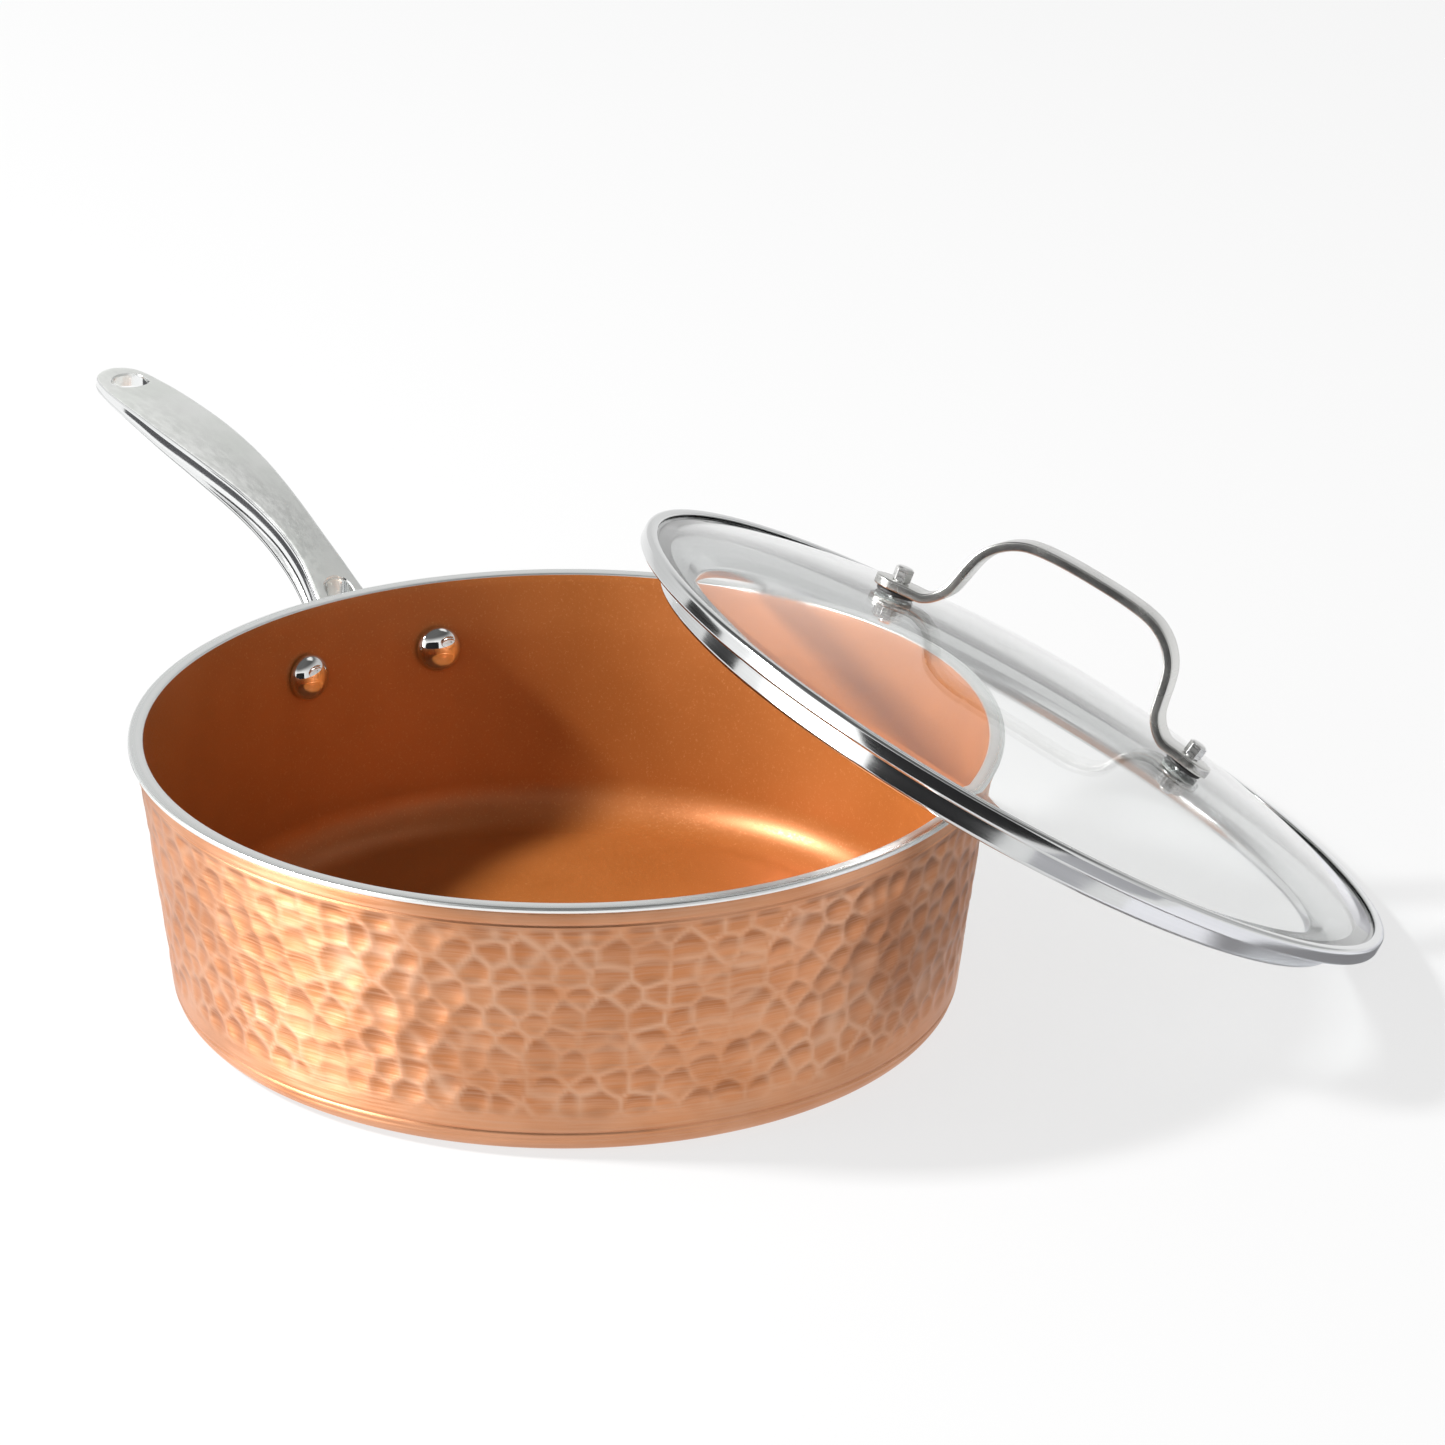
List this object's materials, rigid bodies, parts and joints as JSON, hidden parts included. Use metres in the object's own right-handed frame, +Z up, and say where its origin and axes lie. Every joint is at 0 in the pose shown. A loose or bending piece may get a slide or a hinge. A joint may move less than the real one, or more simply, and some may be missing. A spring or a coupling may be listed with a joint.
{
  "type": "saucepan with glass lid",
  "caption": "Low hammered-copper saucepan with a riveted cast handle; its domed glass lid, with a steel band and bent strap handle, leans on the rim.",
  "frame": {"origin": "centre of the pan's flat base, on the surface the pan stands on", "axes": "+Z up, the pan's long handle along -X, the lid leaning down towards +Y"},
  "size_m": [0.4431, 0.3647, 0.1276],
  "materials": {
    "vessel_aluminium": "satin spun aluminium, copper-coloured ceramic non-stick inside",
    "hammered_copper": "hammered copper, finely brushed round the wall",
    "base_steel": "turned stainless disc",
    "cast_steel": "satin on top, polished along the flanks",
    "rivet_steel": "mirror polish",
    "tempered_glass": "clear, polished",
    "band_steel": "bright rolled stainless",
    "seal_silicone": "matt black silicone",
    "strap_steel": "polished stainless strip",
    "screw_steel": "polished",
    "gasket_silicone": "matt black silicone",
    "clear_silicone": "natural milky silicone",
    "fixing_steel": "plain stainless"
  },
  "bodies": {
    "pan": {"pan_body": "vessel_aluminium", "copper_shell": "hammered_copper", "base_plate": "base_steel", "pan_handle": "cast_steel", "rivet_left": "rivet_steel", "rivet_right": "rivet_steel"},
    "lid": {"lid_glass": "tempered_glass", "lid_rim_band": "band_steel", "lid_edge_seal": "seal_silicone", "lid_handle": "strap_steel", "lid_screw_a": "screw_steel", "lid_screw_b": "screw_steel", "gasket_top_a": "gasket_silicone", "gasket_top_b": "gasket_silicone", "gasket_bottom_a": "clear_silicone", "gasket_bottom_b": "clear_silicone", "washer_a": "fixing_steel", "washer_b": "fixing_steel", "nut_a": "fixing_steel", "nut_b": "fixing_steel"}
  },
  "joints": [
    {"name": "lid_lift", "type": "slide", "parent": "pan", "child": "lid", "axis": [0, 0, 1], "range_m": [0, 0.2]}
  ]
}
